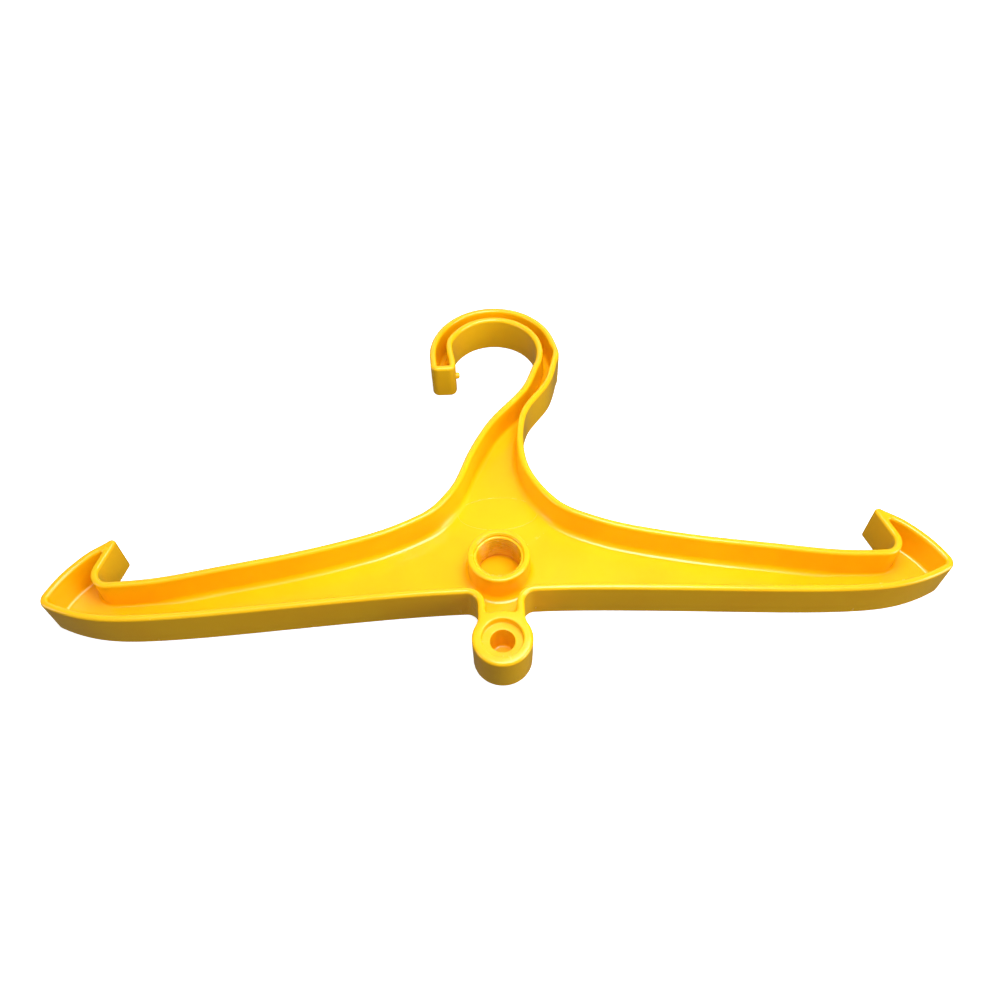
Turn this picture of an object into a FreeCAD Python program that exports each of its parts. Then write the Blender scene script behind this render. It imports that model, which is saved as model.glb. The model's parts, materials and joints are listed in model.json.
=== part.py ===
import FreeCAD, Part
import math
import os

# One-piece injection-moulded hanger for diving gear, lying on its back.
# +X to the right, +Y towards the rail hook, +Z out of the open front of the channel.
# The origin is on the axis of the threaded socket, at the plane of the back edges.
# All sizes in millimetres.

V = FreeCAD.Vector

# ---- overall section -------------------------------------------------------
depth = 21.0               # back plane to the crest of the front rim
wall = 3.2                 # rim wall
web_back = 2.0             # hollow behind the web
web_top = 5.0              # front face of the web
rim_round = 1.5            # rounding of the rim crest on its outer side
rim_round_in = 1.2         # and on its channel side
floor_fillet = 1.5         # inside corner between web and rim wall
back_break = 0.5           # eased outer edge at the back

# ---- arms, each a mirror image of the other -------------------------------
arm_low_y = -20.1          # underside of the arm next to the neck
arm_under = [(60.0, -21.6), (100.0, -24.1), (130.0, -26.0), (157.0, -27.0),
             (178.0, -26.2), (194.0, -22.6)]
arm_over = [(160.0, -5.0), (130.0, -0.1), (100.0, 5.2), (75.0, 10.8), (54.0, 17.0), (40.0, 23.2)]
shoulder = (28.7, 31.6)    # where the upper edge of the arm sweeps up to the stem
shoulder_deg = 130.0

# ---- nose and strap catch at the end of each arm ---------------------------
nose_x = 202.2
nose_y = -13.3
nose_r = 5.4
nose_under_deg = 28.0      # direction of the underside as it reaches the nose
nose_outer_deg = 113.0     # direction of the outer edge as it leaves the nose
outer_edge = [(203.6, -3.9), (196.8, 5.4), (190.6, 11.5)]
tip_x = 181.9
tip_y = 15.2
tip_r = 2.0
channel_tip_r = 1.0        # end of the channel inside the catch
tip_outer_deg = 141.0      # direction of the outer edge as it reaches the tip
catch_face_deg = 288.0     # direction of the catch's holding face, tip to root
notch_r = 5.5              # rounded root of the strap notch
notch_low_y = -5.8         # bottom of the notch

# ---- rail hook and stem ----------------------------------------------------
hook_x = 2.2
hook_y = 132.2
hook_outer_r = 35.0
hook_inner_r = 24.0
hook_start_deg = 15.0      # outer circle taken up from the stem
hook_mouth_deg = 155.0     # inner circle leaves for the tip
hook_heel_deg = -25.0      # inner circle runs out into the stem
hook_end_y = 119.6         # flat end of the hook
hook_end_out_x = -32.2
hook_end_in_x = -18.6
hook_end_r = 4.0
stem_right = [(20.6, 43.6), (16.7, 53.6), (15.4, 64.0), (16.0, 77.0), (18.9, 88.2), (25.2, 97.8),
              (32.3, 108.6), (37.3, 124.6)]
stem_left = [(17.8, 107.2), (9.8, 96.4), (-1.2, 83.4), (-8.6, 71.0), (-14.1, 59.4), (-19.4, 45.4)]

# ---- nub inside the hook's end, which stops the hanger sliding off a rail --
nub_r = 1.7
nub_y = 124.6
nub_z = 10.5
nub_end_x = -16.7
nub_dome = 1.0             # rounding of the nub's free end

# ---- threaded socket for the regulator (G5/8, 14 threads per inch) ---------
thread_minor_r = 10.3
thread_major_r = 11.46
socket_wall = 3.2
socket_r = thread_major_r + socket_wall
socket_proud = 0.7         # socket rim below the rim crest
socket_top = depth - socket_proud
socket_floor = 2.2
socket_lead_in = 1.6       # bevel at the mouth, out past the thread's major size
socket_edge = 1.0

# ---- lug with a seal seat, the shape of a yoke valve's face ----------------
lug_y = -43.0
lug_r = 13.5
neck_half = 10.5
neck_root_r = 5.5          # neck into the underside of the arms
neck_lug_r = 8.0           # neck into the lug
seat_r = 9.25
seat_deep = 3.6
dimple_r = 5.5
dimple_floor = 3.0
seat_edge = 0.5
neck_corner_r = 2.0        # channel of the neck where it stops at the lug

# ---- where the one moulding is divided into simpler named regions ----------
hook_cut_y = 80.0
arm_cut_x = 40.0
catch_cut_x = 166.0
socket_margin = 1.8        # ring of web kept with the socket
socket_cut_r = socket_r + socket_margin
lug_cut_gap = 1.0          # the lug's region starts this far below the neck's root rounds
lug_cut_y = arm_low_y - neck_root_r - lug_cut_gap
rim_foot = 2.1             # strip of web kept with the rims, past the wall
reach = 300.0              # past the moulding in every direction
halvings = 60              # steps of halving that settle a tangent length


def vec(p, z=0.0):
    return V(p[0], p[1], z)


def heading(deg):
    a = math.radians(deg)
    return V(math.cos(a), math.sin(a), 0.0)


def outward(deg):
    """Unit vector to the right of a heading; solid material is on the left."""
    a = math.radians(deg)
    return V(math.sin(a), -math.cos(a), 0.0)


def on_circle(cx, cy, r, deg):
    return V(cx, cy, 0.0) + heading(deg) * r


def arc(cx, cy, r, from_deg, to_deg):
    middle = 0.5 * (from_deg + to_deg)
    a = on_circle(cx, cy, r, from_deg)
    b = on_circle(cx, cy, r, middle)
    c = on_circle(cx, cy, r, to_deg)
    return Part.Arc(a, b, c).toShape()


def curve(points, start_deg, end_deg, inset):
    """Smooth curve through points; with an inset, the same curve moved into the material."""
    c = Part.BSplineCurve()
    c.interpolate(Points=points, InitialTangent=heading(start_deg), FinalTangent=heading(end_deg))
    if inset == 0.0:
        return c
    moved = []
    stops = [c.parameter(p) for p in points]
    for u0, u1 in zip(stops[:-1], stops[1:]):
        for share in (0.0, 0.5):
            moved.append(inside_of(c, u0 + (u1 - u0) * share, inset))
    moved.append(inside_of(c, stops[-1], inset))
    c = Part.BSplineCurve()
    c.interpolate(Points=moved, InitialTangent=heading(start_deg), FinalTangent=heading(end_deg))
    return c


def inside_of(c, u, inset):
    t = c.tangent(u)[0]
    return c.value(u) + V(-t.y, t.x, 0.0) * inset


def line(a, b):
    return Part.LineSegment(a, b).toShape()


def mirrored(edge):
    return edge.mirror(V(0, 0, 0), V(1, 0, 0))


def lug_half(inset):
    """Right half of the lug and neck, from the lug's lowest point to the arm."""
    blend_x = neck_half + neck_lug_r
    reach = lug_r + neck_lug_r
    rise = math.sqrt(reach ** 2 - blend_x ** 2)
    blend_y = lug_y + rise
    meet_deg = math.degrees(math.atan2(rise, blend_x))
    root_x = neck_half + neck_root_r
    root_y = arm_low_y - neck_root_r
    side_x = neck_half - inset
    return [arc(0, lug_y, lug_r - inset, -90.0, meet_deg),
            arc(blend_x, blend_y, neck_lug_r + inset, meet_deg + 180.0, 180.0),
            line(V(side_x, blend_y, 0), V(side_x, root_y, 0)),
            arc(root_x, root_y, neck_root_r + inset, 180.0, 90.0)]


def tip_edges(outer, face_from, face_to, inset):
    """Catch tip: the outer edge, a small round and the straight holding face."""
    into = V(0, 0, 0) - outward(catch_face_deg)
    face_end = face_to + into * inset
    if inset < tip_r:
        tip_r_here = tip_r - inset
        c = curve(outer, nose_outer_deg, tip_outer_deg, inset)
        return [c.toShape(),
                arc(tip_x, tip_y, tip_r_here, tip_outer_deg - 90.0, catch_face_deg - 90.0),
                line(face_from + into * inset, face_end)]
    whole = curve(outer, nose_outer_deg, tip_outer_deg, 0.0)
    gap = inset + channel_tip_r
    low = whole.FirstParameter
    high = whole.LastParameter
    for step in range(halvings):
        u = 0.5 * (low + high)
        centre = inside_of(whole, u, gap)
        if (centre - face_from).dot(into) > gap:
            low = u
        else:
            high = u
    t = whole.tangent(u)[0]
    turn_deg = math.degrees(math.atan2(t.y, t.x))
    kept = [p for p in outer if whole.parameter(p) < u - 1e-3]
    last = whole.value(u)
    c = curve(kept + [last], nose_outer_deg, turn_deg, inset)
    return [c.toShape(),
            arc(centre.x, centre.y, channel_tip_r, turn_deg - 90.0, catch_face_deg - 90.0),
            line(centre + outward(catch_face_deg) * channel_tip_r, face_end)]


def arm_end(inset):
    """Underside, nose, outer edge, catch and notch of the right arm."""
    root = V(neck_half + neck_root_r, arm_low_y, 0)
    nose = V(nose_x, nose_y, 0)
    nose_in = nose + outward(nose_under_deg) * nose_r
    nose_out = nose + outward(nose_outer_deg) * nose_r
    tip = V(tip_x, tip_y, 0)
    tip_in = tip + outward(tip_outer_deg) * tip_r
    tip_out = tip + outward(catch_face_deg) * tip_r
    notch_y = notch_low_y + notch_r
    face_end_y = notch_y - outward(catch_face_deg).y * notch_r
    run = (face_end_y - tip_out.y) / heading(catch_face_deg).y
    face_end = tip_out + heading(catch_face_deg) * run
    notch = face_end + outward(catch_face_deg) * notch_r
    under = [root] + [vec(p) for p in arm_under] + [nose_in]
    outer = [nose_out] + [vec(p) for p in outer_edge] + [tip_in]
    edges = [curve(under, 0.0, nose_under_deg, inset).toShape(),
             arc(nose_x, nose_y, nose_r - inset, nose_under_deg - 90.0, nose_outer_deg - 90.0)]
    edges += tip_edges(outer, tip_out, face_end, inset)
    edges.append(arc(notch.x, notch.y, notch_r + inset, catch_face_deg - 270.0, -90.0))
    return edges, V(notch.x, notch_low_y, 0)


def hook_end(inset):
    """Blunt end of the hook, from its outer circle round to its inner circle."""
    corner_r = hook_end_r - inset
    corner_y = hook_end_y + hook_end_r
    out_x = hook_end_out_x + hook_end_r
    in_x = hook_end_in_x - hook_end_r
    side = V(hook_x - hook_outer_r, hook_y, 0)
    mouth = on_circle(hook_x, hook_y, hook_inner_r, hook_mouth_deg)
    outside = curve([side, V(hook_end_out_x, corner_y, 0)], 270.0, 270.0, inset)
    inside = curve([V(hook_end_in_x, corner_y, 0), mouth], 90.0, hook_mouth_deg - 90.0, inset)
    end_y = hook_end_y + inset
    return [outside.toShape(),
            arc(out_x, corner_y, corner_r, 180.0, 270.0),
            line(V(out_x, end_y, 0), V(in_x, end_y, 0)),
            arc(in_x, corner_y, corner_r, 270.0, 360.0),
            inside.toShape()]


def ring(inset):
    """The whole outline as one closed face, set in from the edge by a distance."""
    lug = lug_half(inset)
    end, arm_start = arm_end(inset)
    over = [arm_start] + [vec(p) for p in arm_over] + [vec(shoulder)]
    end.append(curve(over, 180.0, shoulder_deg, inset).toShape())
    right = [vec(shoulder)] + [vec(p) for p in stem_right]
    right.append(on_circle(hook_x, hook_y, hook_outer_r, hook_start_deg))
    left = [on_circle(hook_x, hook_y, hook_inner_r, hook_heel_deg)]
    left += [vec(p) for p in stem_left]
    left.append(V(-shoulder[0], shoulder[1], 0))
    edges = lug + end
    edges.append(curve(right, shoulder_deg, hook_start_deg + 90.0, inset).toShape())
    edges.append(arc(hook_x, hook_y, hook_outer_r - inset, hook_start_deg, 180.0))
    edges += hook_end(inset)
    edges.append(arc(hook_x, hook_y, hook_inner_r + inset, hook_mouth_deg, hook_heel_deg))
    edges.append(curve(left, hook_heel_deg - 90.0, -shoulder_deg, inset).toShape())
    edges += [mirrored(e) for e in reversed(end)]
    edges += [mirrored(e) for e in reversed(lug)]
    return Part.Face(Part.Wire(Part.__sortEdges__(edges)))


def at_height(shape, z):
    """Edges of a shape that lie wholly in one level."""
    found = []
    for e in shape.Edges:
        b = e.BoundBox
        if abs(b.ZMin - z) < 1e-3 and abs(b.ZMax - z) < 1e-3:
            found.append(e)
    return found


def disc(r, y, z0, z1):
    return Part.makeCylinder(r, z1 - z0, V(0, y, z0))


def box(x0, x1, y0, y1):
    return Part.makeBox(x1 - x0, y1 - y0, 2.0 * depth, V(x0, y0, -0.5 * depth))


def round_edges(shape, r, z, near_r=None, centre_y=0.0):
    """Round the edges at one level, or only the circle of a given radius there."""
    chosen = at_height(shape, z)
    if near_r is not None:
        axis = V(0, centre_y, z)
        chosen = [e for e in chosen if abs(e.valueAt(e.FirstParameter).distanceToPoint(axis) - near_r) < 1e-3
                  and abs(e.valueAt(e.LastParameter).distanceToPoint(axis) - near_r) < 1e-3]
    return shape.makeFillet(r, chosen)


def channel_cutter(face):
    """The open channel: all that is cut from the front, round the socket and short of the lug."""
    cut = face.extrude(V(0, 0, depth)).translated(V(0, 0, web_top))
    cut = cut.cut(disc(lug_r, lug_y, 0.0, reach))
    cut = cut.cut(disc(socket_r, 0.0, 0.0, socket_top))
    corners = []
    for e in cut.Edges:
        b = e.BoundBox
        upright = b.XLength < 1e-3 and b.YLength < 1e-3
        if upright and b.YMax < arm_low_y - neck_root_r and b.ZLength > wall:
            corners.append(e)
    cut = cut.makeFillet(neck_corner_r, corners)
    return round_edges(cut, floor_fillet, web_top)


def channel_rim(shape, face):
    """Edges of the rim crest on its channel side."""
    crest = []
    walls = face.OuterWire.translated(V(0, 0, depth))
    collar = disc(lug_r, lug_y, 0.0, depth)
    for e in at_height(shape, depth):
        middle = Part.Vertex(e.valueAt(0.5 * (e.FirstParameter + e.LastParameter)))
        on_wall = middle.distToShape(walls)[0] < 1e-3
        on_collar = middle.distToShape(collar)[0] < neck_corner_r and middle.Y > lug_y + 0.5 * lug_r
        inside = abs(middle.X) < neck_half - 0.5 * wall
        if on_wall or (on_collar and inside):
            crest.append(e)
    return crest


def moulding():
    face = ring(0.0)
    channel = ring(wall)
    body = face.extrude(V(0, 0, depth))
    body = round_edges(body, rim_round, depth)
    body = round_edges(body, back_break, 0.0)
    body = body.cut(channel_cutter(channel)).Solids[0]
    body = body.makeFillet(rim_round_in, channel_rim(body, channel))
    body = round_edges(body, socket_edge, socket_top, socket_r)

    behind = channel.extrude(V(0, 0, web_back + depth)).translated(V(0, 0, -depth))
    behind = behind.cut(disc(lug_r, lug_y, -reach, reach))
    behind = behind.cut(disc(socket_r, 0.0, -reach, reach))
    body = body.cut(behind)

    bore = disc(thread_minor_r, 0.0, socket_floor, depth)
    mouth_r = thread_minor_r + socket_lead_in
    lead_in = Part.makeCone(thread_minor_r, mouth_r, socket_lead_in, V(0, 0, socket_top - socket_lead_in))
    body = body.cut(bore).cut(lead_in)

    seat = disc(seat_r, lug_y, depth - seat_deep, 2.0 * depth)
    dimple = disc(dimple_r, lug_y, dimple_floor, depth)
    body = body.cut(seat).cut(dimple)
    body = round_edges(body, seat_edge, depth, seat_r, lug_y)

    nub_root_x = hook_end_in_x - 0.5 * wall
    nub_run = nub_end_x - nub_root_x
    nub = Part.makeCylinder(nub_r, nub_run, V(nub_root_x, nub_y, nub_z), V(1, 0, 0))
    nub = nub.makeFillet(nub_dome, [e for e in nub.Edges if e.BoundBox.XMin > nub_end_x - 1e-3])
    return body.fuse(nub).removeSplitter()


def regions():
    """Simple volumes that divide the moulding where its section changes."""
    socket = Part.makeCylinder(socket_cut_r, 2.0 * depth, V(0, 0, -0.5 * depth))
    middle = box(-arm_cut_x, arm_cut_x, lug_cut_y, hook_cut_y).cut(socket)
    plate = ring(wall + rim_foot).extrude(V(0, 0, 2.0 * depth)).translated(V(0, 0, -0.5 * depth))
    return {"rail_hook": box(-reach, reach, hook_cut_y, reach),
            "centre_web": middle.common(plate),
            "centre_rims": middle.cut(plate),
            "left_arm": box(-catch_cut_x, -arm_cut_x, -reach, hook_cut_y),
            "right_arm": box(arm_cut_x, catch_cut_x, -reach, hook_cut_y),
            "left_strap_catch": box(-reach, -catch_cut_x, -reach, hook_cut_y),
            "right_strap_catch": box(catch_cut_x, reach, -reach, hook_cut_y),
            "threaded_socket": socket,
            "seal_lug": box(-arm_cut_x, arm_cut_x, -reach, lug_cut_y)}


def rim_name(rim):
    """The centre's rims run either side of the stem and either side of the neck."""
    side = "left" if rim.CenterOfMass.x < 0 else "right"
    return side + ("_stem_rim" if rim.CenterOfMass.y > 0 else "_neck_rim")


os.makedirs("parts", exist_ok=True)
whole = moulding()
pieces = {name: whole.common(region) for name, region in regions().items()}
for rim in pieces.pop("centre_rims").Solids:
    pieces[rim_name(rim)] = rim
for name, piece in pieces.items():
    piece = piece.Solids[0] if len(piece.Solids) == 1 else piece
    print(name, len(piece.Solids), piece.isValid(), round(piece.Volume))
    piece.exportStep("parts/" + name + ".step")
print("moulding", whole.isValid(), round(whole.Volume), whole.BoundBox)
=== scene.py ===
import json
import math

import bmesh
import bpy
import numpy as np
from mathutils import Matrix, Vector
from mathutils.geometry import delaunay_2d_cdt


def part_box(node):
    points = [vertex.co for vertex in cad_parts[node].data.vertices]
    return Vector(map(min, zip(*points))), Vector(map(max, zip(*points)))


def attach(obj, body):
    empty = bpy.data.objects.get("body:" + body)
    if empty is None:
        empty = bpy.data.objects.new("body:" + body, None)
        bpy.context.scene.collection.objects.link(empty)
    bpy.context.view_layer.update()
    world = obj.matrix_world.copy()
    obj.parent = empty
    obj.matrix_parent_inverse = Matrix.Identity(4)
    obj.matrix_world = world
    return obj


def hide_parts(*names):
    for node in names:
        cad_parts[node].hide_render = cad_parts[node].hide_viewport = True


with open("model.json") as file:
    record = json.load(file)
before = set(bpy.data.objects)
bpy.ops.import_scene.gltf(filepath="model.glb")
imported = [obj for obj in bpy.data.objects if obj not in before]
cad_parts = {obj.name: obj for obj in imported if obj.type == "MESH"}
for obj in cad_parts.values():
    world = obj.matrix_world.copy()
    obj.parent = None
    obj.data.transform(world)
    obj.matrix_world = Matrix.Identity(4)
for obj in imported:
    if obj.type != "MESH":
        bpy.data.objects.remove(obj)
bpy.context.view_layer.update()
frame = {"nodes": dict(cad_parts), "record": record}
MM = 0.001
NODES = sorted(frame["nodes"])
MOUNTS = {m["name"]: m for m in frame["record"]["mounts"]}


# ---------------------------------------------------------------- the frame's shape
def triangles(node):
    """Corners of a CAD node's triangles, as an array (count, 3, 3) in metres."""
    mesh = frame["nodes"][node].data
    mesh.calc_loop_triangles()
    co = np.array([v.co for v in mesh.vertices], float).reshape(-1, 3)
    idx = np.array([t.vertices[:] for t in mesh.loop_triangles])
    return co[idx]


def levels(node, up):
    """Heights of a node's level faces that face up or down, the largest area first."""
    t = triangles(node)
    n = np.cross(t[:, 1] - t[:, 0], t[:, 2] - t[:, 0])
    area = np.linalg.norm(n, axis=1) / 2
    flat = (n[:, 2] * (1 if up else -1)) > 1.98 * area
    flat &= area > 1e-12
    found = {}
    for z, a in zip(t[flat, 0, 2], area[flat]):
        key = round(float(z) * 1e5) / 1e5
        found[key] = found.get(key, 0.0) + float(a)
    return sorted(found, key=lambda z: -found[z])


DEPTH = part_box("left_arm")[1].z
WEB_TOP = levels("left_arm", True)[0]
WEB_BACK = levels("left_arm", False)[0]
SOCKET_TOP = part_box("threaded_socket")[1].z
SOCKET_FLOOR = min(levels("threaded_socket", True))
LUG_LEVELS = [z for z in levels("seal_lug", True) if z < DEPTH - 1e-4 and abs(z - WEB_TOP) > 2e-4]
SEAT_FLOOR, DIMPLE_FLOOR = sorted(LUG_LEVELS, reverse=True)[:2]
LUG_Y = MOUNTS["seal_seat"]["pos_m"][1]
SEAT_R = MOUNTS["seal_seat"]["dims"]["r_mm"] * MM
DIMPLE_R = MOUNTS["lug_dimple"]["dims"]["r_mm"] * MM
THREAD_MINOR = MOUNTS["regulator_socket"]["dims"]["r_mm"] * MM
THREAD_MAJOR = THREAD_MINOR + 1.16 * MM      # standard depth of a 14-per-inch pipe thread
THREAD_PITCH = 25.4 / 14 * MM


def on_cut(points):
    """True where a point lies on one of the flat or round divisions between the CAD nodes."""
    x, y = points[..., 0], points[..., 1]
    near = np.abs(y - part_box("rail_hook")[0].y) < 2e-6
    near |= np.abs(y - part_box("seal_lug")[1].y) < 2e-6
    near |= np.abs(np.abs(x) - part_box("right_arm")[0].x) < 2e-6
    near |= np.abs(np.abs(x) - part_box("right_strap_catch")[0].x) < 2e-6
    near |= np.abs(np.hypot(x, y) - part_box("threaded_socket")[1].x) < 4e-5
    return near


def slice_loops(z):
    """Closed outlines of the whole moulding at one height."""
    pairs = []
    for node in NODES:
        t = triangles(node)
        t = t[~on_cut(t).all(axis=1)]
        above = t[:, :, 2] > z
        t = t[above.any(axis=1) & ~above.all(axis=1)]
        for tri in t:
            cut = []
            for a, b in ((0, 1), (1, 2), (2, 0)):
                if (tri[a, 2] > z) != (tri[b, 2] > z):
                    s = (z - tri[a, 2]) / (tri[b, 2] - tri[a, 2])
                    cut.append(tri[a, :2] + s * (tri[b, :2] - tri[a, :2]))
            if len(cut) == 2 and np.hypot(*(cut[0] - cut[1])) > 1e-8:
                pairs.append(cut)
    ends = np.array(pairs).reshape(-1, 2)
    # ends that belong together lie within a few hundredths of a millimetre
    label = -np.ones(len(ends), int)
    cells = {}
    centres = []
    for i, p in enumerate(ends):
        key = (round(p[0] / 4e-5), round(p[1] / 4e-5))
        hit = -1
        for dx in (-1, 0, 1):
            for dy in (-1, 0, 1):
                for j in cells.get((key[0] + dx, key[1] + dy), ()):
                    if np.hypot(*(centres[j] - p)) < 1.5e-5:
                        hit = j
        if hit < 0:
            hit = len(centres)
            centres.append(p)
            cells.setdefault(key, []).append(hit)
        label[i] = hit
    joined = {}
    for a, b in label.reshape(-1, 2):
        if a != b:
            joined.setdefault(a, set()).add(b)
            joined.setdefault(b, set()).add(a)
    loops = []
    left = set(joined)
    strings = []
    while left:
        path = [min(left)]
        left.discard(path[0])
        for end in (-1, 0):
            while True:
                onward = [j for j in joined[path[end]] if j in left]
                if not onward:
                    break
                path.insert(len(path) if end else 0, min(onward))
                left.discard(path[end])
        strings.append(np.array([centres[j] for j in path]))
    # a string left open by the coarse facets at a division is joined to its neighbour
    while strings:
        q = strings.pop(0)
        while len(q) > 1:
            shut = np.hypot(*(q[0] - q[-1]))
            best = (0.45 * MM, None, False)
            for k, other in enumerate(strings):
                for turned in (False, True):
                    gap = np.hypot(*(q[-1] - (other[-1] if turned else other[0])))
                    if gap < best[0] and gap < shut:
                        best = (gap, k, turned)
            if best[1] is None:
                break
            other = strings.pop(best[1])
            q = np.vstack([q, other[::-1] if best[2] else other])
        if len(q) > 8:
            loops.append(q)
    return sorted(loops, key=lambda q: -abs(area_of(q)))


def area_of(q):
    r = np.roll(q, -1, axis=0)
    return float(np.sum(q[:, 0] * r[:, 1] - r[:, 0] * q[:, 1]) / 2)


def smooth_loop(q, finest=0.28 * MM, coarsest=1.6 * MM, share=0.16):
    """An outline passed through its corner points as a smooth curve, finer where it turns tightly."""
    if area_of(q) < 0:
        q = q[::-1]
    d = np.roll(q, -1, axis=0) - q
    length = np.hypot(d[:, 0], d[:, 1])
    d /= length[:, None]
    before, lb = np.roll(d, 1, axis=0), np.roll(length, 1)
    t = before * length[:, None] + d * lb[:, None]
    t[lb > 3 * length] = before[lb > 3 * length]
    t[length > 3 * lb] = d[length > 3 * lb]
    t /= np.linalg.norm(t, axis=1)[:, None]
    turn = np.abs(np.arctan2(before[:, 0] * d[:, 1] - before[:, 1] * d[:, 0], (before * d).sum(1)))
    radius = np.minimum(length, lb) / np.maximum(turn, 1e-6)
    out = []
    for i in range(len(q)):
        j = (i + 1) % len(q)
        r = min(radius[i], radius[j])
        n = max(1, int(math.ceil(length[i] / min(max(r * share, finest), coarsest))))
        for k in range(n):
            s = k / n
            h00, h10 = 2 * s ** 3 - 3 * s ** 2 + 1, s ** 3 - 2 * s ** 2 + s
            h01, h11 = -2 * s ** 3 + 3 * s ** 2, s ** 3 - s ** 2
            out.append(h00 * q[i] + h10 * length[i] * t[i] + h01 * q[j] + h11 * length[i] * t[j])
    return np.array(out)


def normals_of(q):
    """Unit normals of a loop taken anticlockwise, pointing out of the area it encloses."""
    t = np.roll(q, -1, axis=0) - np.roll(q, 1, axis=0)
    t /= np.linalg.norm(t, axis=1)[:, None]
    return np.c_[t[:, 1], -t[:, 0]]


def shifted(q, n, by):
    """A loop moved along its normals; where it would cross itself the points are gathered on the crossing."""
    by = np.broadcast_to(by, len(q))
    p = q + n * by[:, None]
    if np.abs(by).max() < 1e-7:
        return p
    gap = np.sqrt(((p[:, None, :] - q[None, :, :]) ** 2).sum(2)).min(axis=1)
    bad = gap < np.abs(by) * 0.985 - 2e-6
    if not bad.any() or bad.all():
        return p
    start = int(np.argmin(bad))
    order = (np.arange(len(q)) + start) % len(q)
    run = []
    for k in list(order) + [order[0]]:
        if bad[k]:
            run.append(k)
        elif run:
            meet = (p[(run[0] - 1) % len(q)] + p[(run[-1] + 1) % len(q)]) / 2
            p[run] = meet
            run = []
    return p


# ---------------------------------------------------------------- building the moulding's mesh
class Surface:
    """Collects points and faces for one mesh."""

    def __init__(self):
        self.points = []
        self.faces = []

    def add_ring(self, xy, z):
        first = len(self.points)
        heights = np.broadcast_to(z, len(xy))
        self.points += [(float(x), float(y), float(h)) for (x, y), h in zip(xy, heights)]
        return list(range(first, len(self.points)))

    def band(self, lower, upper):
        """Faces between two rings of equal count, seen from outside when taken anticlockwise."""
        n = len(lower)
        for i in range(n):
            j = (i + 1) % n
            self.faces.append((lower[i], lower[j], upper[j], upper[i]))

    def stack(self, rings, flip=False):
        for a, b in zip(rings[:-1], rings[1:]):
            if flip:
                self.band(b, a)
            else:
                self.band(a, b)

    def level(self, rings, z, up, inner_points=()):
        """A level face between rings that are already in place, holes left open."""
        index = [i for r in rings for i in r]
        flat = [Vector(self.points[i][:2]) for i in index]
        edges = []
        base = 0
        loops = []
        for r in rings:
            edges += [(base + k, base + (k + 1) % len(r)) for k in range(len(r))]
            loops.append(np.array([self.points[i][:2] for i in r]))
            base += len(r)
        flat += [Vector(p) for p in inner_points]
        verts, _, tris, origin, _, _ = delaunay_2d_cdt(flat, edges, [], 1, 1e-9)
        known = {}
        for k, came in enumerate(origin):
            if came and came[0] < len(index):
                known[k] = index[came[0]]
            else:
                self.points.append((verts[k].x, verts[k].y, z))
                known[k] = len(self.points) - 1
        co = np.array([(v.x, v.y) for v in verts])
        tris = np.array([t for t in tris])
        mid = co[tris].mean(axis=1)
        keep = np.zeros(len(mid), int)
        for q in loops:
            a, b = q, np.roll(q, -1, axis=0)
            for s in range(0, len(mid), 2000):
                m = mid[s:s + 2000]
                over = (a[None, :, 1] > m[:, None, 1]) != (b[None, :, 1] > m[:, None, 1])
                with np.errstate(divide="ignore", invalid="ignore"):
                    x = (b[:, 0] - a[:, 0]) * (m[:, None, 1] - a[:, 1]) / (b[:, 1] - a[:, 1]) + a[:, 0]
                keep[s:s + 2000] += (over & (m[:, None, 0] < x)).sum(axis=1)
        for t in tris[keep % 2 == 1]:
            p = co[t]
            turn = (p[1, 0] - p[0, 0]) * (p[2, 1] - p[0, 1]) - (p[1, 1] - p[0, 1]) * (p[2, 0] - p[0, 0])
            if abs(turn) < 1e-14:
                continue
            f = [known[k] for k in t]
            self.faces.append(tuple(f if (turn > 0) == up else f[::-1]))

    def fan(self, ring, z, up):
        """A disc closed to its centre."""
        c = np.array([self.points[i] for i in ring]).mean(axis=0)
        self.points.append((float(c[0]), float(c[1]), z))
        m = len(self.points) - 1
        for i in range(len(ring)):
            j = (i + 1) % len(ring)
            self.faces.append((ring[i], ring[j], m) if up else (ring[j], ring[i], m))

    def mesh(self, name):
        me = bpy.data.meshes.new(name)
        me.from_pydata(self.points, [], self.faces)
        me.validate()
        return me


def circle(x, y, r, count):
    a = np.linspace(0, 2 * math.pi, count, endpoint=False)
    return np.c_[x + r * np.cos(a), y + r * np.sin(a)]


def round_steps(r, count):
    """(inset, drop) pairs round a quarter circle, from the side to the crest."""
    a = np.linspace(0, math.pi / 2, count + 1)
    return [(r * (1 - math.cos(k)), r * math.sin(k)) for k in a]


# Moulded plastic is drawn from its tool by tapering its walls a little.
DRAFT_OUT = 0.15 * MM
DRAFT_IN = 0.6 * MM
CREST_OUT = 1.55 * MM
CREST_IN = 1.4 * MM
BACK_EDGE = 0.5 * MM
FLOOR_ROUND = 1.4 * MM
FULL_ROUND = 2.9 * MM
FOOT_ROUND = 3.2 * MM
RIM_GAIN = 0.2 * MM

middle = 0.5 * (WEB_TOP + DEPTH)
loops = slice_loops(middle)
outer = smooth_loop(loops[0])
channel = smooth_loop(loops[1])
rounds = [q for q in loops[2:] if np.hypot(*q.mean(axis=0)) < 2 * MM]
SOCKET_R = max(float(np.hypot(q[:, 0], q[:, 1]).mean()) for q in rounds)
back_loops = slice_loops(0.5 * WEB_BACK)
behind = smooth_loop(back_loops[1])
out_n, in_n, back_n = normals_of(outer), normals_of(channel), normals_of(behind)
s = Surface()

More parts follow.
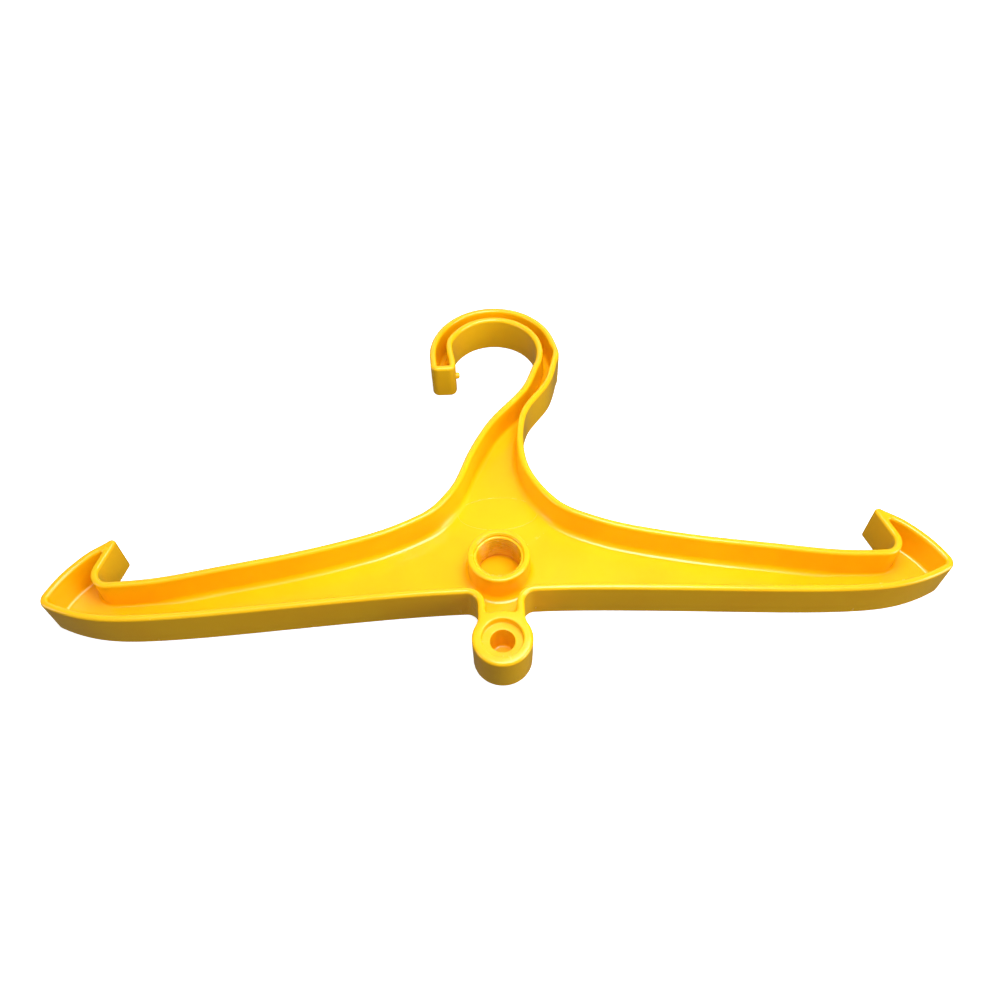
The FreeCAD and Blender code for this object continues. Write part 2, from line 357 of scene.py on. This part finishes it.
# outside wall, from the eased back edge up and over the crest of the rim
rings = []
for inset, rise in [(a, b) for a, b in reversed(round_steps(BACK_EDGE, 3))]:
    z = BACK_EDGE - rise
    rings.append(s.add_ring(shifted(outer, out_n, -(inset + DRAFT_OUT * (1 - z / DEPTH))), z))
for z in (0.33 * DEPTH, 0.66 * DEPTH):
    rings.append(s.add_ring(shifted(outer, out_n, -DRAFT_OUT * (1 - z / DEPTH)), z))
for inset, rise in round_steps(CREST_OUT, 8):
    z = DEPTH - CREST_OUT + rise
    rings.append(s.add_ring(shifted(outer, out_n, -(inset + DRAFT_OUT * (1 - z / DEPTH))), z))
s.stack(rings)
out_back, out_crest = rings[0], rings[-1]

# channel side, from the crest down to the web; the inside corner is fuller where the channel is wide
def eased(value, start, end):
    t = np.clip((value - start) / (end - start), 0, 1)
    return t * t * (3 - 2 * t)


wide = eased(channel[:, 1], 88 * MM, 62 * MM) * eased(np.abs(channel[:, 0]), 164 * MM, 148 * MM)
wide *= eased(np.hypot(channel[:, 0], channel[:, 1]), 24 * MM, 36 * MM)
corner = FLOOR_ROUND + wide * (FULL_ROUND - FLOOR_ROUND)
rings = []
for inset, rise in reversed(round_steps(CREST_IN, 8)):
    rings.append(s.add_ring(shifted(channel, in_n, inset - RIM_GAIN), DEPTH - CREST_IN + rise))
low = WEB_TOP + corner
start_z = DEPTH - CREST_IN
for share in (0.5, 1.0):
    z = start_z + share * (low - start_z)
    rings.append(s.add_ring(shifted(channel, in_n, -(RIM_GAIN + share * DRAFT_IN)), z))
for inset, rise in round_steps(1.0, 7)[1:]:
    rings.append(s.add_ring(shifted(channel, in_n, -(RIM_GAIN + DRAFT_IN + inset * corner)), low - rise * corner))
s.stack(rings)
in_crest, in_floor = rings[0], rings[-1]

# the socket: out of the web, over its rim, down its bore to a closed floor
TURNS = 128
BEVEL = 1.6 * MM
rings = []
for inset, rise in reversed(round_steps(FOOT_ROUND, 8)):
    rings.append(s.add_ring(circle(0, 0, SOCKET_R + inset + 0.1 * MM, TURNS), WEB_TOP + FOOT_ROUND - rise))
SOCKET_EDGE = 1.0 * MM
for inset, rise in round_steps(SOCKET_EDGE, 6):
    rings.append(s.add_ring(circle(0, 0, SOCKET_R - inset - 0.15 * MM, TURNS), SOCKET_TOP - SOCKET_EDGE + rise))
LIP = 0.35 * MM
mouth = THREAD_MINOR + BEVEL
for inset, rise in reversed(round_steps(LIP, 3)):
    rings.append(s.add_ring(circle(0, 0, mouth + inset, TURNS), SOCKET_TOP - LIP + rise))
rings.append(s.add_ring(circle(0, 0, THREAD_MAJOR, TURNS), SOCKET_TOP - LIP - (mouth - THREAD_MAJOR)))
rings.append(s.add_ring(circle(0, 0, THREAD_MAJOR, TURNS), SOCKET_FLOOR + 0.8 * MM))
for inset, rise in round_steps(0.8 * MM, 4)[1:]:
    rings.append(s.add_ring(circle(0, 0, THREAD_MAJOR - inset, TURNS), SOCKET_FLOOR + 0.8 * MM - rise))
s.stack(rings)
s.fan(rings[-1], SOCKET_FLOOR, True)
socket_foot = rings[0]

# the lug's seat and dimple, cut into its crest
rings = []
SEAT_EDGE = 0.6 * MM
for inset, rise in reversed(round_steps(SEAT_EDGE, 4)):
    rings.append(s.add_ring(circle(0, LUG_Y, SEAT_R + inset, TURNS), DEPTH - SEAT_EDGE + rise))
for inset, rise in round_steps(0.4 * MM, 3):
    rings.append(s.add_ring(circle(0, LUG_Y, SEAT_R - 0.1 * MM - inset, TURNS), SEAT_FLOOR + 0.4 * MM - rise))
for inset, rise in reversed(round_steps(0.4 * MM, 3)):
    rings.append(s.add_ring(circle(0, LUG_Y, DIMPLE_R + inset, TURNS), SEAT_FLOOR - 0.4 * MM + rise))
for inset, rise in round_steps(1.0 * MM, 4):
    rings.append(s.add_ring(circle(0, LUG_Y, DIMPLE_R - 0.15 * MM - inset, TURNS), DIMPLE_FLOOR + 1.0 * MM - rise))
s.stack(rings)
s.fan(rings[-1], DIMPLE_FLOOR, True)
seat_mouth = rings[0]

s.level([out_crest, in_crest, seat_mouth], DEPTH, True)
s.level([in_floor, socket_foot], WEB_TOP, True)

# the back: its rim, the shallow hollow and the socket's closed end
edge = s.add_ring(behind, 0.0)
deep = s.add_ring(shifted(behind, back_n, -0.1 * MM), WEB_BACK)
s.stack([deep, edge], flip=True)
s.level([out_back, edge], 0.0, False)
pad_deep = s.add_ring(circle(0, 0, SOCKET_R, TURNS), WEB_BACK)
pad_edge = s.add_ring(circle(0, 0, SOCKET_R - 0.2 * MM, TURNS), 0.2 * MM)
pad = s.add_ring(circle(0, 0, SOCKET_R - 0.4 * MM, TURNS), 0.0)
s.stack([pad, pad_edge, pad_deep])
s.fan(pad, 0.0, False)
s.level([deep, pad_deep], WEB_BACK, False)

moulding = bpy.data.objects.new("moulding", s.mesh("moulding"))
bpy.context.scene.collection.objects.link(moulding)
bm = bmesh.new()
bm.from_mesh(moulding.data)
bmesh.ops.remove_doubles(bm, verts=bm.verts, dist=2e-6)
bmesh.ops.dissolve_degenerate(bm, edges=bm.edges, dist=1e-7)
# hairline gaps left where facets in line with each other were dropped are closed
for _ in range(3):
    gaps = [e for e in bm.edges if e.is_boundary]
    if gaps:
        bmesh.ops.holes_fill(bm, edges=gaps, sides=0)
        bmesh.ops.dissolve_degenerate(bm, edges=bm.edges, dist=1e-7)
bmesh.ops.recalc_face_normals(bm, faces=bm.faces)
bm.to_mesh(moulding.data)
bm.free()


def finish_mesh(obj):
    """Smooth over the rounds, crisp at real corners, level faces kept level."""
    obj.data.polygons.foreach_set("use_smooth", [True] * len(obj.data.polygons))
    obj.data.set_sharp_from_angle(angle=math.radians(38))
    m = obj.modifiers.new("level faces", "WEIGHTED_NORMAL")
    m.mode = "FACE_AREA"
    m.weight = 100
    m.keep_sharp = True


# ---------------------------------------------------------------- materials
def colour(hex_code):
    """sRGB hex to the linear values that shading works in."""
    h = hex_code.lstrip("#")
    out = []
    for k in (0, 2, 4):
        c = int(h[k:k + 2], 16) / 255
        out.append(c / 12.92 if c <= 0.04045 else ((c + 0.055) / 1.055) ** 2.4)
    return (*out, 1.0)


def add(tree, kind, links=None, **settings):
    """Adds a node; settings name its properties or sockets, links give a socket its source."""
    node = tree.nodes.new(kind)
    for key, value in settings.items():
        if hasattr(node, key):
            setattr(node, key, value)
        else:
            socket = node.inputs[int(key[1:])] if key[0] == "_" and key[1:].isdigit() else \
                node.inputs[key.replace("_", " ")]
            socket.default_value = value
    for key, source in (links or {}).items():
        tree.links.new(source, node.inputs[key])
    return node


def ramp(tree, source, stops):
    node = add(tree, "ShaderNodeValToRGB", {"Fac": source})
    while len(node.color_ramp.elements) < len(stops):
        node.color_ramp.elements.new(0.5)
    for e, (at, value) in zip(node.color_ramp.elements, stops):
        e.position = at
        e.color = value if isinstance(value, tuple) else (value, value, value, 1)
    return node.outputs["Color"]


def glossy_moulded_plastic():
    """Yellow polypropylene, injection moulded in a polished tool: a deep wet-looking gloss over a body colour
    that lets a little light in, so thin rims glow greenish yellow, helped by a painted highlight on the crests, and
    shaded hollows turn amber."""
    mat = bpy.data.materials.new("glossy yellow moulded plastic")
    mat.use_nodes = True
    t = mat.node_tree
    t.nodes.clear()
    place = add(t, "ShaderNodeTexCoord").outputs["Object"]
    # slow flow marks in the pigment, about 30 mm across
    flow = add(t, "ShaderNodeTexNoise", {"Vector": place}, Scale=33.0, Detail=3.0, Roughness=0.5)
    body = ramp(t, flow.outputs["Fac"], [(0.35, colour("#F8B804")), (0.65, colour("#FBC006"))])
    # specks of paler pigment, 0.4 mm, drawn a little coarser than real
    speck = add(t, "ShaderNodeTexNoise", {"Vector": place}, Scale=1400.0, Detail=2.0, Roughness=0.6)
    pale = ramp(t, speck.outputs["Fac"], [(0.62, 0.0), (0.74, 0.35)])
    mixed = add(t, "ShaderNodeMix", data_type="RGBA", blend_type="MIX")
    t.links.new(pale, mixed.inputs[0])
    t.links.new(body, mixed.inputs[6])
    mixed.inputs[7].default_value = colour("#FAC423")
    # exposed crests: a painted highlight makes them a touch paler, standing in for the glow along the rims, and
    # handling wear makes them duller
    form = add(t, "ShaderNodeNewGeometry").outputs["Pointiness"]
    crest = ramp(t, form, [(0.50, 0.0), (0.56, 1.0)])
    patch = add(t, "ShaderNodeTexNoise", {"Vector": place}, Scale=90.0, Detail=5.0, Roughness=0.65)
    crest_wear_and_highlight = add(t, "ShaderNodeMath", {0: crest, 1: ramp(t, patch.outputs["Fac"], [(0.42, 0.15), (0.66, 1.0)])},
               operation="MULTIPLY")
    top = add(t, "ShaderNodeMix", data_type="RGBA", blend_type="MIX")
    soft_wear_and_highlight = add(t, "ShaderNodeMath", {0: crest_wear_and_highlight.outputs[0]}, operation="MULTIPLY", _1=0.16)
    t.links.new(soft_wear_and_highlight.outputs[0], top.inputs[0])
    t.links.new(mixed.outputs[2], top.inputs[6])
    # the paler yellow laid on the crests is a painted highlight
    top.inputs[7].default_value = colour("#FFD640")
    # gloss varies with fine tool polish and handling
    haze = add(t, "ShaderNodeTexNoise", {"Vector": place}, Scale=55.0, Detail=6.0, Roughness=0.7)
    gloss = add(t, "ShaderNodeMapRange", {"Value": haze.outputs["Fac"]}, _1=0.3, _2=0.7, _3=0.15, _4=0.24)
    rough = add(t, "ShaderNodeMath", {0: crest_wear_and_highlight.outputs[0], 1: gloss.outputs[0]}, operation="MULTIPLY_ADD")
    rough.inputs[2].default_value = 0.0
    t.links.new(gloss.outputs[0], rough.inputs[2])
    # surface: faint sink and flow waviness 20 mm across, and a 0.3 mm orange peel
    wave = add(t, "ShaderNodeTexNoise", {"Vector": place}, Scale=48.0, Detail=1.0)
    peel = add(t, "ShaderNodeTexNoise", {"Vector": place}, Scale=900.0, Detail=2.0)
    relief = add(t, "ShaderNodeBump", {"Height": wave.outputs["Fac"]}, Strength=0.12, Distance=0.0006)
    fine = add(t, "ShaderNodeBump", {"Height": peel.outputs["Fac"], "Normal": relief.outputs[0]}, Strength=0.05,
               Distance=0.00004)
    shade = add(t, "ShaderNodeBsdfPrincipled", {"Base Color": top.outputs[2], "Roughness": rough.outputs[0],
                                                "Normal": fine.outputs[0]}, IOR=1.49)
    shade.inputs["Subsurface Weight"].default_value = 0.06
    shade.inputs["Subsurface Radius"].default_value = (1.0, 0.7, 0.1)
    shade.inputs["Subsurface Scale"].default_value = 0.0018
    shade.inputs["Coat Weight"].default_value = 0.15
    shade.inputs["Coat Roughness"].default_value = 0.12
    add(t, "ShaderNodeOutputMaterial", {"Surface": shade.outputs[0]})
    return mat


def pale_table():
    """Matt white laminate: even, pale, without gloss."""
    mat = bpy.data.materials.new("matt white table")
    mat.use_nodes = True
    t = mat.node_tree
    shade = t.nodes["Principled BSDF"]
    place = add(t, "ShaderNodeTexCoord").outputs["Object"]
    grain = add(t, "ShaderNodeTexNoise", {"Vector": place}, Scale=220.0, Detail=4.0)
    t.links.new(ramp(t, grain.outputs["Fac"], [(0.3, colour("#F6F6F5")), (0.7, colour("#FAFAF9"))]),
                shade.inputs["Base Color"])
    shade.inputs["Roughness"].default_value = 0.9
    shade.inputs["Specular IOR Level"].default_value = 0.1
    # a lightbox table: a little light comes through it
    shade.inputs["Emission Color"].default_value = colour("#FFFFFF")
    shade.inputs["Emission Strength"].default_value = 0.62
    return mat


PLASTIC = glossy_moulded_plastic()
moulding.data.materials.append(PLASTIC)
finish_mesh(moulding)


# ---------------------------------------------------------------- details that follow a path or repeat
def group_with(name, inputs):
    """An empty geometry tree with named inputs."""
    tree = bpy.data.node_groups.new(name, "GeometryNodeTree")
    tree.interface.new_socket("Geometry", in_out="OUTPUT", socket_type="NodeSocketGeometry")
    for label, kind, value in inputs:
        s = tree.interface.new_socket(label, in_out="INPUT", socket_type=kind)
        s.default_value = value
    return tree, tree.nodes.new("NodeGroupInput"), tree.nodes.new("NodeGroupOutput")


def made_by(name, tree, values, material):
    """Runs a geometry tree once and keeps the plain mesh it makes."""
    carrier = bpy.data.objects.new(name + " maker", bpy.data.meshes.new(name + " maker"))
    bpy.context.scene.collection.objects.link(carrier)
    m = carrier.modifiers.new("maker", "NODES")
    m.node_group = tree
    for item in tree.interface.items_tree:
        if item.item_type == "SOCKET" and item.in_out == "INPUT" and item.name in values:
            m[item.identifier] = values[item.name]
    bpy.context.view_layer.update()
    shape = bpy.data.meshes.new_from_object(carrier.evaluated_get(bpy.context.evaluated_depsgraph_get()))
    bpy.data.objects.remove(carrier)
    shape.name = name
    obj = bpy.data.objects.new(name, shape)
    bpy.context.scene.collection.objects.link(obj)
    if not shape.materials:
        shape.materials.append(material)
    return obj


def ending(tree, out, geometry, material):
    real = add(tree, "GeometryNodeRealizeInstances", {"Geometry": geometry})
    paint = add(tree, "GeometryNodeSetMaterial", {"Geometry": real.outputs[0]})
    paint.inputs["Material"].default_value = material
    tree.links.new(paint.outputs[0], out.inputs[0])


def thread_tree():
    """One rib swept along a helix: the crest of an inside thread."""
    tree, given, out = group_with("inside thread", [
        ("Radius", "NodeSocketFloat", 0.011), ("Pitch", "NodeSocketFloat", 0.0018),
        ("Turns", "NodeSocketFloat", 8.0), ("Foot", "NodeSocketFloat", 0.004), ("Depth", "NodeSocketFloat", 0.001)])
    rise = add(tree, "ShaderNodeMath", {0: given.outputs["Pitch"], 1: given.outputs["Turns"]}, operation="MULTIPLY")
    radius = given.outputs["Radius"]
    helix = add(tree, "GeometryNodeCurveSpiral", {"Rotations": given.outputs["Turns"], "Start Radius": radius,
                                                  "End Radius": radius, "Height": rise.outputs[0]}, Resolution=72)
    up = add(tree, "ShaderNodeCombineXYZ", {"Z": given.outputs["Foot"]})
    lifted = add(tree, "GeometryNodeTransform", {"Geometry": helix.outputs[0], "Translation": up.outputs[0]})
    rib = add(tree, "GeometryNodeCurvePrimitiveCircle", {"Radius": given.outputs["Depth"]}, Resolution=8)
    swept = add(tree, "GeometryNodeCurveToMesh", {"Curve": lifted.outputs[0], "Profile Curve": rib.outputs[0]})
    swept.inputs["Fill Caps"].default_value = True
    smooth = add(tree, "GeometryNodeSetShadeSmooth", {"Geometry": swept.outputs[0]})
    ending(tree, out, smooth.outputs[0], PLASTIC)
    return tree


def witness_tree():
    """A fine raised line round an oval: the joint of a changeable insert in the tool."""
    tree, given, out = group_with("oval witness line", [
        ("Half Width", "NodeSocketFloat", 0.02), ("Half Height", "NodeSocketFloat", 0.01),
        ("Centre", "NodeSocketVector", (0, 0, 0)), ("Line", "NodeSocketFloat", 0.0002)])
    ring = add(tree, "GeometryNodeCurvePrimitiveCircle", Resolution=180)
    ring.inputs["Radius"].default_value = 1.0
    half = {"X": given.outputs["Half Width"], "Y": given.outputs["Half Height"]}
    size = add(tree, "ShaderNodeCombineXYZ", half, Z=1.0)
    oval = add(tree, "GeometryNodeTransform", {"Geometry": ring.outputs[0], "Translation": given.outputs["Centre"],
                                               "Scale": size.outputs[0]})
    line = add(tree, "GeometryNodeCurvePrimitiveCircle", {"Radius": given.outputs["Line"]}, Resolution=8)
    swept = add(tree, "GeometryNodeCurveToMesh", {"Curve": oval.outputs[0], "Profile Curve": line.outputs[0]})
    smooth = add(tree, "GeometryNodeSetShadeSmooth", {"Geometry": swept.outputs[0]})
    ending(tree, out, smooth.outputs[0], PLASTIC)
    return tree


def ejector_tree():
    """Shallow round marks left by ejector pins, one at each point along the web's back."""
    tree, given, out = group_with("ejector pin marks", [
        ("Radius", "NodeSocketFloat", 0.003), ("Height", "NodeSocketFloat", 0.0003), ("Span", "NodeSocketFloat", 0.3),
        ("Middle", "NodeSocketVector", (0, 0, 0)), ("Count", "NodeSocketInt", 8), ("Seed", "NodeSocketInt", 4)])
    half = add(tree, "ShaderNodeMath", {0: given.outputs["Span"]}, operation="MULTIPLY", _1=0.5)
    back = add(tree, "ShaderNodeMath", {0: half.outputs[0]}, operation="MULTIPLY", _1=-1.0)
    a = add(tree, "ShaderNodeCombineXYZ", {"X": back.outputs[0]})
    b = add(tree, "ShaderNodeCombineXYZ", {"X": half.outputs[0]})
    row = add(tree, "GeometryNodeCurvePrimitiveLine", {"Start": a.outputs[0], "End": b.outputs[0]})
    points = add(tree, "GeometryNodeResampleCurve", {"Curve": row.outputs[0], "Count": given.outputs["Count"]})
    placed = add(tree, "GeometryNodeTransform", {"Geometry": points.outputs[0],
                                                 "Translation": given.outputs["Middle"]})
    pin = add(tree, "GeometryNodeMeshCylinder", {"Radius": given.outputs["Radius"], "Depth": given.outputs["Height"]},
              Vertices=40)
    size = add(tree, "FunctionNodeRandomValue", {"Seed": given.outputs["Seed"]})
    size.data_type = "FLOAT"
    size.inputs[2].default_value = 0.96
    size.inputs[3].default_value = 1.0
    marks = add(tree, "GeometryNodeInstanceOnPoints", {"Points": placed.outputs[0], "Instance": pin.outputs[0],
                                                       "Scale": size.outputs[1]})
    ending(tree, out, marks.outputs[0], PLASTIC)
    return tree


thread_foot = SOCKET_FLOOR + 1.2 * MM
turns = (SOCKET_TOP - BEVEL * 0.9 - thread_foot) / THREAD_PITCH
thread = made_by("socket_thread", thread_tree(), {
    "Radius": THREAD_MAJOR - 0.25 * MM, "Pitch": THREAD_PITCH, "Turns": turns, "Foot": thread_foot,
    "Depth": THREAD_MAJOR - THREAD_MINOR - 0.25 * MM}, PLASTIC)
OVAL = (0.6 * MM, 33.8 * MM)
witness = made_by("oval_witness_line", witness_tree(), {
    "Half Width": 19.8 * MM, "Half Height": 9.8 * MM, "Line": 0.22 * MM,
    "Centre": (OVAL[0], OVAL[1], WEB_TOP - 0.1 * MM)}, PLASTIC)
arm_low, arm_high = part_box("right_arm")
marks = made_by("ejector_marks", ejector_tree(), {
    "Radius": 3.0 * MM, "Height": 0.3 * MM, "Span": 2 * 0.85 * arm_high.x, "Count": 8, "Seed": 4,
    "Middle": (0.0, 0.36 * arm_low.y, WEB_BACK)}, PLASTIC)

# nub inside the hook's end
hook_low, hook_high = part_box("rail_hook")


def nub_mesh():
    """A short round peg with a domed end, pointing into the hook."""
    n = Surface()
    co = np.array([v.co for v in frame["nodes"]["rail_hook"].data.vertices], float)
    tip = co[(co[:, 0] < 0.42 * hook_low.x) & (co[:, 1] < hook_high.y - 37 * MM)]
    end_x = tip[:, 0].max()
    peg = tip[tip[:, 0] > end_x - 0.2 * MM]
    y, z = peg[:, 1].mean(), peg[:, 2].mean()
    r = 1.75 * MM
    rings = []
    dome = 1.2 * MM
    for inset, rise in [(0.0, -2.2 * MM)] + round_steps(dome, 6):
        ring = circle(0, 0, r - inset * 0.999, 32)      # the last ring stays just open for the cap
        first = len(n.points)
        n.points += [(end_x - dome + rise, y + a, z + b) for a, b in ring]
        rings.append(list(range(first, len(n.points))))
    n.stack(rings)
    for ring, x, up in ((rings[-1], end_x, True), (rings[0], end_x - dome - 2.2 * MM, False)):
        n.points.append((x, y, z))
        m = len(n.points) - 1
        for i in range(len(ring)):
            j = (i + 1) % len(ring)
            n.faces.append((ring[i], ring[j], m) if up else (ring[j], ring[i], m))
    return n.mesh("rail_nub")


nub = bpy.data.objects.new("rail_nub", nub_mesh())
bpy.context.scene.collection.objects.link(nub)
nub.data.materials.append(PLASTIC)
finish_mesh(nub)

for o in (moulding, thread, witness, marks, nub):
    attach(o, "root")
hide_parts(*NODES)

# ---------------------------------------------------------------- floor, light and camera
bpy.ops.mesh.primitive_plane_add(size=8.0, location=(0, 0, -0.0002))
floor = bpy.context.object
floor.name = "floor"
floor.data.materials.append(pale_table())
# the table takes shadows but throws no light back up at the moulding's walls
floor.visible_diffuse = False
floor.visible_glossy = False


def softbox(name, place, aim, size, watts, tint):
    lamp = bpy.data.lights.new(name, "AREA")
    lamp.shape = "RECTANGLE"
    lamp.size, lamp.size_y = size
    lamp.energy = watts
    lamp.color = colour(tint)[:3]
    o = bpy.data.objects.new(name, lamp)
    o.location = place
    o.rotation_euler = (Vector(aim) - Vector(place)).to_track_quat("-Z", "Y").to_euler()
    bpy.context.scene.collection.objects.link(o)
    return o


softbox("key softbox over the middle", (0.07, 0.0, 0.42), (0.0, 0.04, 0), (0.26, 0.22), 1.7, "#FFFFFF")
softbox("softbox behind", (0.0, 1.5, 0.95), (0, 0.05, 0), (2.0, 0.6), 5.0, "#FFFFFF")
softbox("overhead softbox", (0.0, -0.2, 1.5), (0, 0.03, 0), (1.6, 0.9), 6.0, "#FFFFFF")
softbox("right side card", (1.1, -0.45, 0.4), (0, 0.03, 0), (0.6, 1.0), 9.5, "#FFFFFF")
softbox("left side card", (-1.2, -0.35, 0.35), (0, 0.03, 0), (0.5, 0.8), 3.0, "#FFFFFF")

# the room: dim all round, darker towards the ground
world = bpy.data.worlds.new("studio")
bpy.context.scene.world = world
world.use_nodes = True
wt = world.node_tree
direction = add(wt, "ShaderNodeTexCoord").outputs["Generated"]
height = add(wt, "ShaderNodeSeparateXYZ", {"Vector": direction}).outputs["Z"]
room = ramp(wt, height, [(0.0, 0.10), (0.5, 0.30)])
wt.links.new(room, wt.nodes["Background"].inputs["Color"])
wt.nodes["Background"].inputs["Strength"].default_value = 1.0
bpy.context.scene.view_settings.view_transform = "Standard"

# the viewer stands in front and above, turned about a degree to one side; a 32 mm lens on a 36 mm wide frame
cam_data = bpy.data.cameras.new("camera")
cam_data.sensor_width = 36.0
cam_data.lens = 36.0 * 0.887887
cam_data.clip_start = 0.01
camera = bpy.data.objects.new("camera", cam_data)
right = Vector((0.99907566, -0.04091999, -0.01316759))
down = Vector((-0.04083385, -0.80770622, -0.58816942))
away = Vector((0.01343234, 0.58816343, -0.80863054))
camera.matrix_world = Matrix(((right.x, -down.x, -away.x, -0.00387889), (right.y, -down.y, -away.y, -0.22153391),
                              (right.z, -down.z, -away.z, 0.36756364), (0, 0, 0, 1)))
bpy.context.scene.collection.objects.link(camera)
bpy.context.scene.camera = camera
